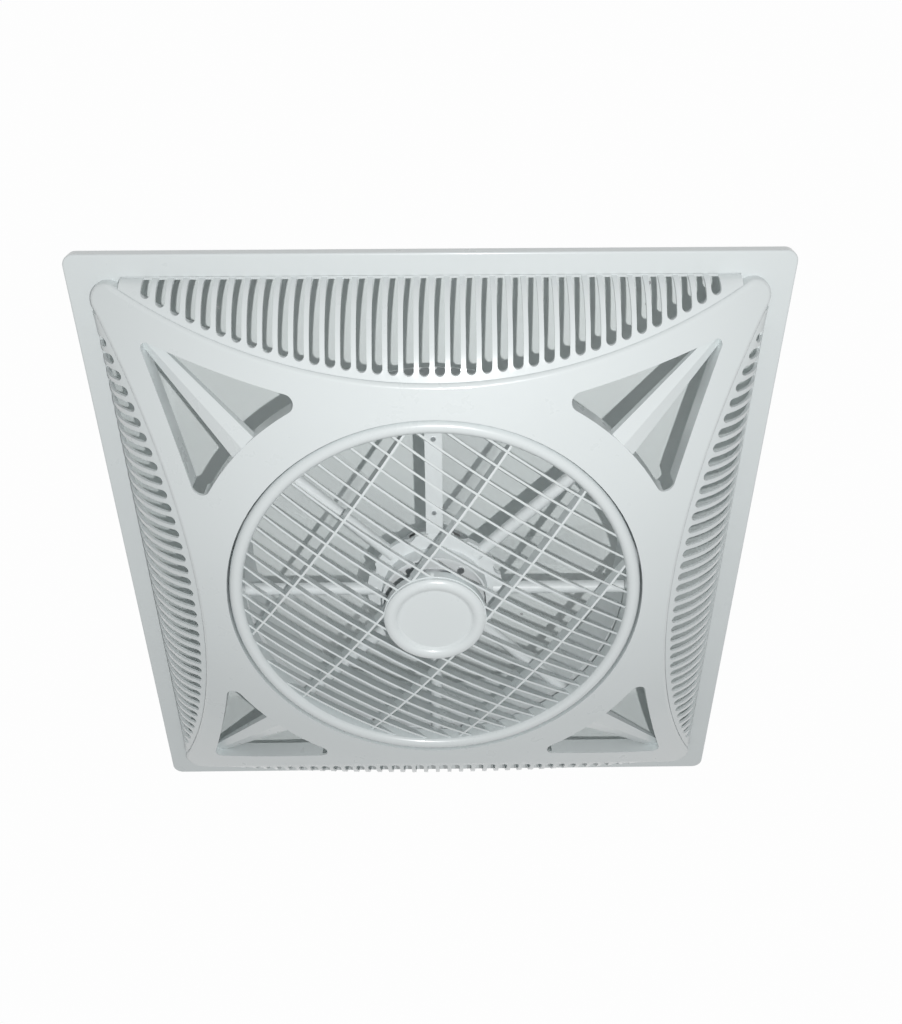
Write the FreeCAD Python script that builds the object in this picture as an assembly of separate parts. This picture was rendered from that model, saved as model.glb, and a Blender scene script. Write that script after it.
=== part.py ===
"""Lay-in false-ceiling fan: a square moulded panel with four slotted air intakes and a turning round louvre.

Millimetres. +Z is up. The room side of the panel's flat border is z = 0, and the panel's middle is the origin,
so everything below the border hangs into the room and everything above it hides behind the ceiling.
"""
import FreeCAD, Part
import math
import os

V = FreeCAD.Vector
ORIGIN = V(0, 0, 0)
UP = V(0, 0, 1)

# Fits shared by every piece
OVERRUN = 1.0
FIT = 0.05
LOOSE = 0.25

# Flat border that rests on the ceiling grid
PANEL_SIDE = 595.0
PANEL_CORNER_RADIUS = 10.0
BORDER_WIDTH = 18.5
BORDER_THICKNESS = 3.0
BORDER_ROUND = 1.6
RIM_HEIGHT = 10.0
RIM_WALL = 3.0

# Domed four-pointed star
DOME_RADIUS = 900.0
DOME_DEPTH = 96.0
STAR_WALL = 2.6
STAR_SKIRT = 18.0
STAR_ROUND = 4.0
STAR_WAIST = 214.0
TIP_PLACE = 263.0
TIP_RADIUS = 14.0

# Corner windows and their folded ribs
WINDOW_APEX = 239.0
WINDOW_BASE_RADIUS = 222.0
WINDOW_HALF_ANGLE = 19.0
WINDOW_BOW = 2.5
WINDOW_APEX_ROUND = 5.0
WINDOW_BASE_ROUND = 8.0
WINDOW_EDGE_ROUND = 1.2
RIB_BASE_WIDTH = 27.0
RIB_APEX_WIDTH = 10.0
RIB_BASE_FOLD = 3.0
RIB_APEX_FOLD = 2.0
RIB_APEX_DEPTH = 8.0
RIB_WALL = 2.2
RIB_BASE_FLANGE = 8.0
RIB_APEX_FLANGE = 4.0

# Slotted intake grilles between the border and the star
LENS_HALF_LENGTH = 252.0
LENS_WALL = 2.4
LENS_STEP = 3.0
LENS_BULGE = 30.0
LENS_SECTIONS = 9
LENS_LAP = 2.5
LENS_ROOT_INSET = 0.5
LENS_ROOT_RISE = 1.3
SLOT_COUNT = 38
SLOT_PITCH = 12.4
SLOT_WIDTH = 8.4
SLOT_MARGIN = 5.0
SLOT_OVERSHOOT = 1.5

# Turning louvre
LOUVRE_RADIUS = 184.5
LOUVRE_GAP = 1.8
LOUVRE_RING_WIDTH = 11.5
LOUVRE_RING_WALL = 2.4
LOUVRE_RING_BEAD = 4.0
LOUVRE_RING_RISE = 12.0
LOUVRE_RING_PROUD = 1.5
LOUVRE_EDGE_DEPTH = 72.0
LOUVRE_DROP = 26.0
SLAT_COUNT = 24
SLAT_PITCH = 14.1
SLAT_THICKNESS = 1.8
SLAT_DEPTH = 20.0
SLAT_BACK_DEPTH = 62.5
SLAT_TILT = 26.0
SLAT_HEADING = 35.0
BLADE_FLATS = 12
CROSS_RIB_COUNT = 4
CROSS_RIB_PITCH = 78.0
CROSS_RIB_THICKNESS = 2.0
CROSS_RIB_LIFT = 0.6
CROSS_RIB_DEPTH = 12.6
LOUVRE_TOP_DEPTH = 58.8
HUB_RADIUS = 45.5
HUB_THICKNESS = 8.0
HUB_RECESS_RADIUS = 12.0
HUB_RECESS_DEPTH = 5.0
HUB_BOSS_RADIUS = 11.0
HUB_BOSS_HEIGHT = 9.0
SWING_SHAFT_RADIUS = 3.5

# Cap over the louvre's hub
CAP_RADIUS = 44.6
CAP_HEIGHT = 6.0
CAP_RIM_WIDTH = 11.2
CAP_DISH = 4.0
CAP_WALL = 1.8

# Collar round the louvre, screw bosses and the spider behind it
COLLAR_WALL = 3.0
COLLAR_TOP_DEPTH = 52.0
BOSS_CIRCLE = 194.0
BOSS_RADIUS = 5.0
SPIDER_RING_THICKNESS = 4.0
SPIDER_RING_INNER = 183.0
SPIDER_RING_OUTER = 199.0
ARM_COUNT = 8
ARM_WIDTH = 11.0
ARM_HEIGHT = 8.0
ARM_TOP_DEPTH = 50.0
ARM_LAP = 2.0
FLAT_ARM_HEIGHT = 5.6
SPIDER_HUB_RADIUS = 62.0
SPIDER_HUB_THICKNESS = 6.0
SCALLOP_RADIUS = 9.0
SCALLOP_CIRCLE = 67.0
CUP_RADIUS = 48.0
CUP_WALL = 2.0
CUP_HEIGHT = 16.0
COVER_WALL = 1.6
COVER_START = 64.0
COVER_END = 181.0
COVER_LIP = 4.0

# Swing motor that turns the louvre
SWING_CAN_RADIUS = 25.0
SWING_CAN_HEIGHT = 19.0
SWING_NOSE_RADIUS = 8.0
SWING_NOSE_HEIGHT = 2.5
SWING_EAR_CIRCLE = 31.0
SWING_EAR_RADIUS = 6.0
SWING_EAR_THICKNESS = 2.0
SWING_SHAFT_TOP_DEPTH = 62.0

# Air shroud round the impeller
SHROUD_RADIUS = 176.0
SHROUD_WALL = 2.0
SHROUD_MOUTH_RADIUS = 14.0
SHROUD_STRAIGHT = 52.0

# Casing behind the panel
CASING_SIDE = 570.0
CASING_BACK_SIDE = 520.0
CASING_HEIGHT = 85.0
CASING_WALL = 2.0
CASING_CORNER_RADIUS = 20.0
CASING_EDGE_RADIUS = 10.0
CASING_FLANGE = 8.0

# Impeller
BLADE_COUNT = 5
BLADE_TIP_RADIUS = 168.0
BLADE_ROOT_RADIUS = 28.0
BLADE_ROOT_CHORD = 42.0
BLADE_TIP_CHORD = 78.0
BLADE_ROOT_PITCH = 36.0
BLADE_TIP_PITCH = 21.0
BLADE_CAMBER_SHARE = 0.07
BLADE_THICKNESS = 2.2
BLADE_RISE = 12.5
IMPELLER_HUB_RADIUS = 32.0
IMPELLER_HUB_HEIGHT = 24.0
IMPELLER_HUB_ROUND = 6.0
IMPELLER_GAP = 3.0
PIN_RADIUS = 1.5
PIN_LENGTH = 26.0
NUT_RADIUS = 8.0
NUT_HEIGHT = 7.0

# Main motor, carried on the spider's hub
SHAFT_RADIUS = 4.0
SHAFT_END_GAP = 1.2
MOTOR_RADIUS = 40.0
BELL_HEIGHT = 9.5
BELL_WALL = 2.5
CORE_HEIGHT = 16.0
CORE_BORE_RADIUS = 21.4
CORE_SLOT_RADIUS = 3.0
CORE_SLOT_COUNT = 12
ROTOR_GAP = 0.4
WINDING_INNER_RADIUS = 23.5
WINDING_OUTER_RADIUS = 33.5
WINDING_HEIGHT = 6.0
WINDING_ROUND = 2.0
BEARING_RADIUS = 8.0
BEARING_HEIGHT = 7.0
BEARING_HOUSING_WALL = 3.0
VENT_COUNT = 6
VENT_WIDTH = 9.0
VENT_HEIGHT = 4.0
EAR_RADIUS = 5.0
EAR_CIRCLE = 44.0
EAR_HEIGHT = 4.0
THROUGH_BOLT_RADIUS = 2.0
MOTOR_SCREW_CIRCLE = 33.0

# Screws: shank radius, head radius and head height
SMALL_SHANK = 1.7
SMALL_HEAD = 3.2
SMALL_HEAD_HEIGHT = 2.2
TINY_SHANK = 1.2
TINY_HEAD = 2.1
TINY_HEAD_HEIGHT = 1.2
SPIDER_SCREW_BITE = 8.0
CASING_SCREW_BITE = 1.8
CASING_SCREW_PLACE = 150.0
COVER_SCREW_BITE = 3.0
COVER_SCREW_INSET = 22.0
SWING_SCREW_BITE = 4.0
MOTOR_SCREW_BITE = 2.0
LOUVRE_SCREW_SHANK = 1.5
LOUVRE_SCREW_HEAD = 5.0
LOUVRE_SCREW_HEAD_HEIGHT = 2.6
LOUVRE_SCREW_BITE = 8.0

# Hanger brackets on the casing's back
HANGER_SPACING = 460.0
HANGER_HOLE_RADIUS = 3.3
HANGER_WIDTH = 36.0
HANGER_SHEET = 2.0
HANGER_RISE = 16.0
HANGER_FOOT = 30.0
HANGER_EAR = 32.0
HANGER_SCREW_SPACING = 20.0

# Terminal box, its block and the cable gland
BOX_LENGTH = 100.0
BOX_WIDTH = 70.0
BOX_HEIGHT = 27.0
BOX_WALL = 2.2
BOX_CORNER = 6.0
BOX_PLACE = 160.0
LID_THICKNESS = 2.4
LID_LIP = 3.0
POST_RADIUS = 4.0
POST_INSET = 6.5
LID_SCREW_BITE = 8.0
BLOCK_LENGTH = 52.0
BLOCK_WIDTH = 18.0
BLOCK_HEIGHT = 13.0
BLOCK_WAYS = 4
BLOCK_WELL_RADIUS = 3.0
BLOCK_WELL_DEPTH = 6.0
GLAND_BORE = 4.5
GLAND_THREAD_RADIUS = 8.0
GLAND_HEX_RADIUS = 12.0
GLAND_HEX_LENGTH = 8.0
GLAND_DOME_LENGTH = 10.0
GLAND_DOME_RADIUS = 10.0
GLAND_NUT_HEIGHT = 5.0
GLAND_THREAD_SPARE = 2.0

# Run capacitor and its strap
CAPACITOR_LENGTH = 40.0
CAPACITOR_WIDTH = 20.0
CAPACITOR_HEIGHT = 26.0
CAPACITOR_PLACE = 95.0
STRAP_WIDTH = 12.0
STRAP_SHEET = 1.2
STRAP_FOOT = 11.0

# Places worked out from the sizes above
HALF_SIDE = PANEL_SIDE / 2
LENS_EDGE = HALF_SIDE - BORDER_WIDTH
DOME_CENTRE_Z = DOME_RADIUS - DOME_DEPTH
WAIST_TO_TIP = TIP_PLACE - STAR_WAIST
SIDE_ARC_RADIUS = (
    (TIP_PLACE ** 2 + WAIST_TO_TIP ** 2 - TIP_RADIUS ** 2) / (2 * (TIP_RADIUS + WAIST_TO_TIP))
)
SIDE_ARC_PLACE = STAR_WAIST + SIDE_ARC_RADIUS
HOLE_RADIUS = LOUVRE_RADIUS + LOUVRE_GAP
COLLAR_RADIUS = HOLE_RADIUS + COLLAR_WALL
COLLAR_TOP = -COLLAR_TOP_DEPTH
SPIDER_RING_TOP = COLLAR_TOP + SPIDER_RING_THICKNESS
ARM_TOP = -ARM_TOP_DEPTH
ARM_LOW = ARM_TOP - ARM_HEIGHT
FLAT_ARM_LOW = ARM_TOP - FLAT_ARM_HEIGHT
SPIDER_HUB_LOW = ARM_TOP - SPIDER_HUB_THICKNESS
SWING_CAN_LOW = SPIDER_HUB_LOW - SWING_CAN_HEIGHT
SWING_NOSE_LOW = SWING_CAN_LOW - SWING_NOSE_HEIGHT
SLAT_REACH = LOUVRE_RADIUS - LOUVRE_RING_WIDTH
LOUVRE_DOME_RADIUS = (SLAT_REACH ** 2 + LOUVRE_DROP ** 2) / (2 * LOUVRE_DROP)
LOUVRE_DOME_Z = LOUVRE_DOME_RADIUS - LOUVRE_EDGE_DEPTH - LOUVRE_DROP
HUB_LOW = LOUVRE_DOME_Z - math.sqrt(LOUVRE_DOME_RADIUS ** 2 - HUB_RADIUS ** 2)
HUB_TOP = HUB_LOW + HUB_THICKNESS
HUB_SEAT = HUB_LOW + HUB_RECESS_DEPTH
HUB_BOSS_TOP = HUB_TOP + HUB_BOSS_HEIGHT
SHROUD_FLANGE_TOP = SPIDER_RING_TOP + SHROUD_WALL
CASING_TOP = BORDER_THICKNESS + CASING_HEIGHT
CASING_CEILING = CASING_TOP - CASING_WALL
MOTOR_LOW = ARM_TOP
CORE_LOW = MOTOR_LOW + BELL_WALL + BELL_HEIGHT
CORE_TOP = CORE_LOW + CORE_HEIGHT
MOTOR_TOP = CORE_TOP + BELL_HEIGHT + BELL_WALL
IMPELLER_HUB_LOW = MOTOR_TOP + IMPELLER_GAP
IMPELLER_HUB_TOP = IMPELLER_HUB_LOW + IMPELLER_HUB_HEIGHT
BLADE_MIDDLE = IMPELLER_HUB_LOW + BLADE_RISE
NUT_TOP = IMPELLER_HUB_TOP + NUT_HEIGHT
BOX_TOP = CASING_TOP + BOX_HEIGHT
GLAND_Z = CASING_TOP + BOX_HEIGHT / 2
ARM_ANGLES = [index * 360 / ARM_COUNT for index in range(ARM_COUNT)]
BETWEEN_ARMS = [angle + 180 / ARM_COUNT for angle in ARM_ANGLES]
QUARTERS = [0, 90, 180, 270]


def cylinder(radius, low, high, x=0, y=0):
    return Part.makeCylinder(radius, high - low, V(x, y, low))


def tube(outer, inner, low, high, x=0, y=0):
    return cylinder(outer, low, high, x, y).cut(cylinder(inner, low, high, x, y))


def block(x_low, x_high, y_low, y_high, z_low, z_high):
    return Part.makeBox(x_high - x_low, y_high - y_low, z_high - z_low, V(x_low, y_low, z_low))


def fused(shapes):
    first, rest = shapes[0], shapes[1:]
    return first.multiFuse(rest).removeSplitter() if rest else first


def around(shape, angles):
    copies = []
    for angle in angles:
        copy = shape.copy()
        copy.rotate(ORIGIN, UP, angle)
        copies.append(copy)
    return copies


def moved(shape, x, y, z=0):
    copy = shape.copy()
    copy.translate(V(x, y, z))
    return copy


def on_circle(radius, angle):
    turn = math.radians(angle)
    return radius * math.cos(turn), radius * math.sin(turn)


def outline_face(start, *steps):
    """Closed face in the XZ plane. A step is a corner (x, z), or the middle and end of an arc."""
    here = V(start[0], 0, start[1])
    edges = []
    for step in steps + (start,):
        if isinstance(step[0], tuple):
            middle, end = [V(x, 0, z) for x, z in step]
            edges.append(Part.Arc(here, middle, end).toShape())
        else:
            end = V(step[0], 0, step[1])
            edges.append(Part.LineSegment(here, end).toShape())
        here = end
    return Part.Face(Part.Wire(edges))


def turned(start, *steps):
    return outline_face(start, *steps).revolve(ORIGIN, UP, 360)


def upright_edges(shape):
    """Straight edges that run along Z."""
    found = []
    for edge in shape.Edges:
        ends = [vertex.Point for vertex in edge.Vertexes]
        if len(ends) == 2 and math.hypot(ends[0].x - ends[1].x, ends[0].y - ends[1].y) < FIT:
            found.append(edge)
    return found


def level_edges(shape, z):
    """Edges that lie in the plane at height z."""
    return [edge for edge in shape.Edges if all(abs(v.Point.z - z) < FIT for v in edge.Vertexes)]


def rounded_slab(length, width, corner, low, high):
    slab = block(-length / 2, length / 2, -width / 2, width / 2, low, high)
    return slab.makeFillet(corner, upright_edges(slab))


def hexagon(radius, low, high):
    corners = [V(*on_circle(radius, index * 60), low) for index in range(7)]
    return Part.Face(Part.makePolygon(corners)).extrude(V(0, 0, high - low))


def screw(shank, head, head_height, seat, tip, x=0, y=0):
    """A pan-head screw seated at height seat; its tip may point down or up."""
    if tip < seat:
        return cylinder(head, seat, seat + head_height, x, y).fuse(cylinder(shank, tip, seat, x, y))
    return cylinder(head, seat - head_height, seat, x, y).fuse(cylinder(shank, seat, tip, x, y))


def dome_z(radius):
    """Height of the star's room-side face at a distance from the axis."""
    return DOME_CENTRE_Z - math.sqrt(DOME_RADIUS ** 2 - radius ** 2)


def dome_ball(inset):
    return Part.makeSphere(DOME_RADIUS - inset, V(0, 0, DOME_CENTRE_Z))


def star_prism(inset, low, high):
    """Upright prism on the star's plan: four hollow side arcs tangent to four round tips."""
    side_radius = SIDE_ARC_RADIUS + inset
    tip_radius = TIP_RADIUS - inset
    reach = math.hypot(TIP_PLACE, SIDE_ARC_PLACE - TIP_PLACE)
    touch_x = TIP_PLACE * side_radius / reach
    touch_y = SIDE_ARC_PLACE - (SIDE_ARC_PLACE - TIP_PLACE) * side_radius / reach
    tip_mid = TIP_PLACE + tip_radius * math.sqrt(0.5)
    left, right = V(-touch_x, -touch_y, low), V(touch_x, -touch_y, low)
    side = Part.Arc(left, V(0, -STAR_WAIST + inset, low), right).toShape()
    tip = Part.Arc(right, V(tip_mid, -tip_mid, low), V(touch_y, -touch_x, low)).toShape()
    edges = [edge for angle in QUARTERS for edge in around(side, [angle]) + around(tip, [angle])]
    return Part.Face(Part.Wire(edges)).extrude(V(0, 0, high - low))


def beside(edge, point):
    """Whether an upright edge stands at a point of the plan."""
    return math.hypot(edge.Vertexes[0].X - point.x, edge.Vertexes[0].Y - point.y) < FIT


def window_prism(outset, low, high):
    """One corner window's plan: a kite with a base arc round the louvre and softly bowed sides."""
    half_angle = WINDOW_HALF_ANGLE + math.degrees(outset / WINDOW_BASE_RADIUS)
    base_radius = WINDOW_BASE_RADIUS - outset
    apex_place = WINDOW_APEX + 2 * outset
    right = V(*on_circle(base_radius, 45 - half_angle), low)
    left = V(*on_circle(base_radius, 45 + half_angle), low)
    apex = V(apex_place, apex_place, low)
    bow = WINDOW_BOW * math.sqrt(0.5)
    right_mid = (right + apex) / 2 + V(-bow, bow, 0)
    left_mid = (left + apex) / 2 + V(bow, -bow, 0)
    edges = [
        Part.Arc(left, V(*on_circle(base_radius, 45), low), right).toShape(),
        Part.Arc(right, right_mid, apex).toShape(),
        Part.Arc(apex, left_mid, left).toShape(),
    ]
    kite = Part.Face(Part.Wire(edges)).extrude(V(0, 0, high - low))
    at_base = [edge for edge in upright_edges(kite) if not beside(edge, apex)]
    kite = kite.makeFillet(WINDOW_BASE_ROUND + outset, at_base)
    sharp = [edge for edge in upright_edges(kite) if beside(edge, apex)]
    return kite.makeFillet(WINDOW_APEX_ROUND + outset, sharp)


def window_rib():
    """Folded rib with side flanges on the window's diagonal: narrow and sunk at the apex, wide and flush at the base."""
    base_place = WINDOW_BASE_RADIUS - STAR_WALL
    apex_place = WINDOW_APEX * math.sqrt(2)
    ends = [
        (base_place, dome_z(base_place), RIB_BASE_WIDTH, RIB_BASE_FOLD, RIB_BASE_FLANGE),
        (apex_place, dome_z(apex_place) + RIB_APEX_DEPTH, RIB_APEX_WIDTH, RIB_APEX_FOLD, RIB_APEX_FLANGE),
    ]
    sections = []
    for place, z, width, fold, flange in ends:
        outer, inner = width / 2, width / 2 - RIB_WALL
        corners = [
            V(place, -outer, z + fold), V(place, 0, z), V(place, outer, z + fold),
            V(place, outer, z + fold + flange), V(place, inner, z + fold + flange),
            V(place, inner, z + fold + RIB_WALL), V(place, 0, z + RIB_WALL), V(place, -inner, z + fold + RIB_WALL),
            V(place, -inner, z + fold + flange), V(place, -outer, z + fold + flange),
        ]
        sections.append(Part.makePolygon(corners + corners[:1]))
    rib = Part.makeLoft(sections, True, True)
    return around(rib, [45])[0]


def front_panel():
    """Border with its rim, domed star with skirt, windows, louvre collar and screw bosses, as one moulding."""
    low, high = -DOME_DEPTH - OVERRUN, STAR_SKIRT + OVERRUN
    plate = rounded_slab(PANEL_SIDE, PANEL_SIDE, PANEL_CORNER_RADIUS, 0, RIM_HEIGHT)
    plate = plate.makeFillet(BORDER_ROUND, level_edges(plate, 0))
    inside = PANEL_SIDE - 2 * RIM_WALL
    plate = plate.cut(rounded_slab(
        inside, inside, PANEL_CORNER_RADIUS - RIM_WALL, BORDER_THICKNESS, RIM_HEIGHT + OVERRUN))
    opening = block(-LENS_HALF_LENGTH, LENS_HALF_LENGTH, -LENS_EDGE, LENS_EDGE, low, high)
    plate = plate.cut(opening.fuse(around(opening, [90])[0]))
    plate = plate.cut(star_prism(STAR_WALL, low, high))

    hole = cylinder(HOLE_RADIUS, low, high)
    star = star_prism(0, low, BORDER_THICKNESS / 2).common(dome_ball(0)).cut(dome_ball(STAR_SKIRT)).cut(hole)
    centre = V(0, 0, DOME_CENTRE_Z)
    outer = [edge for edge in star.Edges
             if all(abs(v.Point.distanceToPoint(centre) - DOME_RADIUS) < FIT
                    and math.hypot(v.X, v.Y) > STAR_WAIST - FIT for v in edge.Vertexes)]
    star = star.makeFillet(STAR_ROUND, outer)
    pocket = star_prism(STAR_WALL, low, high).common(dome_ball(STAR_WALL))
    pocket = pocket.cut(cylinder(COLLAR_RADIUS, low, high))
    for surround in around(window_prism(STAR_WALL, low, high), QUARTERS):
        pocket = pocket.cut(surround)
    star = star.cut(pocket)
    windows = around(window_prism(0, low, high), QUARTERS)
    for window in windows:
        star = star.cut(window)
    keep = window_prism(STAR_WALL / 2, low, high).common(dome_ball(0))
    ribs = around(window_rib().common(keep), QUARTERS)

    collar = tube(COLLAR_RADIUS, HOLE_RADIUS, low, COLLAR_TOP)
    bosses = [cylinder(BOSS_RADIUS, low, COLLAR_TOP, *on_circle(BOSS_CIRCLE, angle)) for angle in BETWEEN_ARMS]
    collar = fused([collar] + bosses).common(dome_ball(0)).cut(hole)
    panel = star.multiFuse([plate, collar] + ribs)
    pilot_low = COLLAR_TOP - SPIDER_SCREW_BITE - OVERRUN
    for angle in BETWEEN_ARMS:
        panel = panel.cut(cylinder(SMALL_SHANK + FIT, pilot_low, COLLAR_TOP, *on_circle(BOSS_CIRCLE, angle)))
    for x, y in casing_screw_places():
        panel = panel.cut(cylinder(SMALL_SHANK + FIT, BORDER_THICKNESS - CASING_SCREW_BITE, BORDER_THICKNESS, x, y))
    return panel


def lens_section(x):
    """Cross-section of an intake grille: an arc from the border's edge down to the star's edge, one wall thick."""
    arc_radius = SIDE_ARC_RADIUS - LOOSE
    y_edge = -LENS_EDGE + LOOSE
    y_star = -SIDE_ARC_PLACE + math.sqrt(arc_radius ** 2 - x ** 2)
    z_star = dome_z(math.hypot(x, y_star)) + LENS_STEP
    start, end = V(x, y_edge + LENS_ROOT_INSET, LENS_ROOT_RISE), V(x, y_star, z_star)
    chord = end - start
    bulge = math.radians(LENS_BULGE)
    radius = chord.Length / (2 * math.sin(bulge))
    inward = V(0, -chord.z, chord.y) / chord.Length
    centre = (start + end) / 2 + inward * (radius * math.cos(bulge))
    inner_radius = radius - LENS_WALL
    inner_start = centre + (start - centre) * (inner_radius / radius)
    inner_end = V(x, y_star, centre.z - math.sqrt(inner_radius ** 2 - (y_star - centre.y) ** 2))
    return Part.Wire([
        Part.Arc(start, centre - inward * radius, end).toShape(),
        Part.LineSegment(end, inner_end).toShape(),
        Part.Arc(inner_end, centre - inward * inner_radius, inner_start).toShape(),
        Part.LineSegment(inner_start, start).toShape(),
    ])


def intake_slot(x):
    """Round-ended slot cut straight up through an intake grille, as long as the grille is wide there."""
    low, high = -DOME_DEPTH, RIM_HEIGHT
    half = SLOT_WIDTH / 2
    y_out = -LENS_EDGE + LOOSE + half - SLOT_OVERSHOOT
    y_in = -SIDE_ARC_PLACE + math.sqrt(SIDE_ARC_RADIUS ** 2 - x ** 2) - SLOT_MARGIN - half
    y_in = max(y_in, y_out + FIT)
    edges = [
        Part.LineSegment(V(x - half, y_out, low), V(x - half, y_in, low)).toShape(),
        Part.Arc(V(x - half, y_in, low), V(x, y_in + half, low), V(x + half, y_in, low)).toShape(),
        Part.LineSegment(V(x + half, y_in, low), V(x + half, y_out, low)).toShape(),
        Part.Arc(V(x + half, y_out, low), V(x, y_out - half, low), V(x - half, y_out, low)).toShape(),
    ]
    return Part.Face(Part.Wire(edges)).extrude(V(0, 0, high - low))


def intake_grille():
    """Slotted lens-shaped wall on the -Y side, with the lip that sits on the back of the border."""
    half_length = LENS_HALF_LENGTH - LOOSE
    lip_length = half_length - LOOSE
    steps = range(LENS_SECTIONS)
    places = [half_length * (2 * step / (LENS_SECTIONS - 1) - 1) for step in steps]
    shell = Part.makeLoft([lens_section(x) for x in places], True, False)
    slots = [intake_slot((index - (SLOT_COUNT - 1) / 2) * SLOT_PITCH) for index in range(SLOT_COUNT)]
    shell = shell.cut(Part.makeCompound(slots))
    y_edge = -LENS_EDGE + LOOSE
    lip_top = BORDER_THICKNESS + LENS_WALL
    strip = block(-lip_length, lip_length, y_edge, y_edge + LENS_WALL, 0, lip_top)
    lip = block(-lip_length, lip_length, -LENS_EDGE - LENS_LAP, y_edge + LENS_WALL, BORDER_THICKNESS, lip_top)
    return fused([shell, strip, lip])


def louvre_blade(offset, along_y, thickness, lift, depth, lean):
    """Thin wall whose lower edge follows the louvre's dome in short flats, leaning back by lean per unit of depth.

    Near the ring its back edge stops at the height that clears the spider's arms.
    """
    reach = math.sqrt(LOUVRE_RADIUS ** 2 - offset ** 2)
    half = thickness / 2

    def section(share):
        along = reach * share
        low = LOUVRE_DOME_Z + lift - math.sqrt(LOUVRE_DOME_RADIUS ** 2 - offset ** 2 - along ** 2)
        back = min(depth, -SLAT_BACK_DEPTH - low)
        corners = []
        for side, rise in ((-half, 0), (half, 0), (half, back), (-half, back)):
            across = offset + side + lean * rise
            corners.append(V(across, along, low + rise) if along_y else V(along, across, low + rise))
        return Part.makePolygon(corners + corners[:1])

    steps = range(BLADE_FLATS + 1)
    return Part.makeLoft([section(2 * step / BLADE_FLATS - 1) for step in steps], True, True)


def louvre_grille():
    """Domed turning grille: ring, leaning parallel slats, upright cross ribs and the hub that takes the swing shaft."""
    lean = math.tan(math.radians(SLAT_TILT))
    wide = SLAT_THICKNESS / math.cos(math.radians(SLAT_TILT))
    slats = [louvre_blade((index - (SLAT_COUNT - 1) / 2) * SLAT_PITCH, False, wide, 0, SLAT_DEPTH, lean)
             for index in range(SLAT_COUNT)]
    cross_ribs = [louvre_blade((index - (CROSS_RIB_COUNT - 1) / 2) * CROSS_RIB_PITCH, True,
                               CROSS_RIB_THICKNESS, CROSS_RIB_LIFT, CROSS_RIB_DEPTH, 0)
                  for index in range(CROSS_RIB_COUNT)]
    room = tube(SLAT_REACH + LOUVRE_RING_WALL / 2, HUB_RADIUS - LOUVRE_RING_WALL / 2,
                -DOME_DEPTH - LOUVRE_DROP, -LOUVRE_TOP_DEPTH)
    blades = [blade.common(room) for blade in slats + cross_ribs]
    outer, inner = LOUVRE_RADIUS, SLAT_REACH
    edge = -LOUVRE_EDGE_DEPTH - LOUVRE_RING_PROUD
    top = -LOUVRE_EDGE_DEPTH + LOUVRE_RING_RISE
    web = edge + LOUVRE_RING_WALL - LOUVRE_RING_BEAD / 2
    middle = (outer + inner) / 2
    ring = turned(
        (inner, top), (inner, edge), ((middle, edge - LOUVRE_RING_BEAD), (outer, edge)), (outer, top),
        (outer - LOUVRE_RING_WALL, top), (outer - LOUVRE_RING_WALL, web),
        (inner + LOUVRE_RING_WALL, web), (inner + LOUVRE_RING_WALL, top),
    )
    hub = cylinder(HUB_RADIUS, HUB_LOW, HUB_TOP).fuse(cylinder(HUB_BOSS_RADIUS, HUB_TOP, HUB_BOSS_TOP))
    hub = hub.cut(cylinder(HUB_RECESS_RADIUS, HUB_LOW, HUB_SEAT))
    hub = hub.cut(cylinder(SWING_SHAFT_RADIUS + FIT, HUB_SEAT, HUB_BOSS_TOP))
    grille = ring.multiFuse(blades + [hub])
    return around(grille, [SLAT_HEADING])[0]


def hub_cap():
    """Round cap with a full rim and a dished flat middle."""
    low = HUB_LOW - CAP_HEIGHT
    rim_mid = CAP_RADIUS - CAP_RIM_WIDTH / 2
    disc = CAP_RADIUS - CAP_RIM_WIDTH
    dish = low + CAP_DISH
    inside = HUB_LOW - CAP_WALL / 2
    return turned(
        (0, dish), (disc - CAP_WALL, dish), (disc, dish - CAP_WALL / 2),
        ((rim_mid, low), (CAP_RADIUS, low + CAP_HEIGHT / 2)), (CAP_RADIUS, HUB_LOW),
        (CAP_RADIUS - CAP_WALL, HUB_LOW), (CAP_RADIUS - CAP_WALL, low + CAP_HEIGHT / 2),
        (rim_mid, low + CAP_WALL), (disc + CAP_WALL / 2, inside), (0, inside),
    )


def swing_shaft():
    end = HUB_SEAT + FIT
    shaft = cylinder(SWING_SHAFT_RADIUS, end, -SWING_SHAFT_TOP_DEPTH)
    return shaft.cut(cylinder(LOUVRE_SCREW_SHANK + FIT, end, end + LOUVRE_SCREW_BITE + OVERRUN))


def louvre_screw():
    return screw(LOUVRE_SCREW_SHANK, LOUVRE_SCREW_HEAD, LOUVRE_SCREW_HEAD_HEIGHT, HUB_SEAT,
                 HUB_SEAT + LOUVRE_SCREW_BITE)


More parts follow.
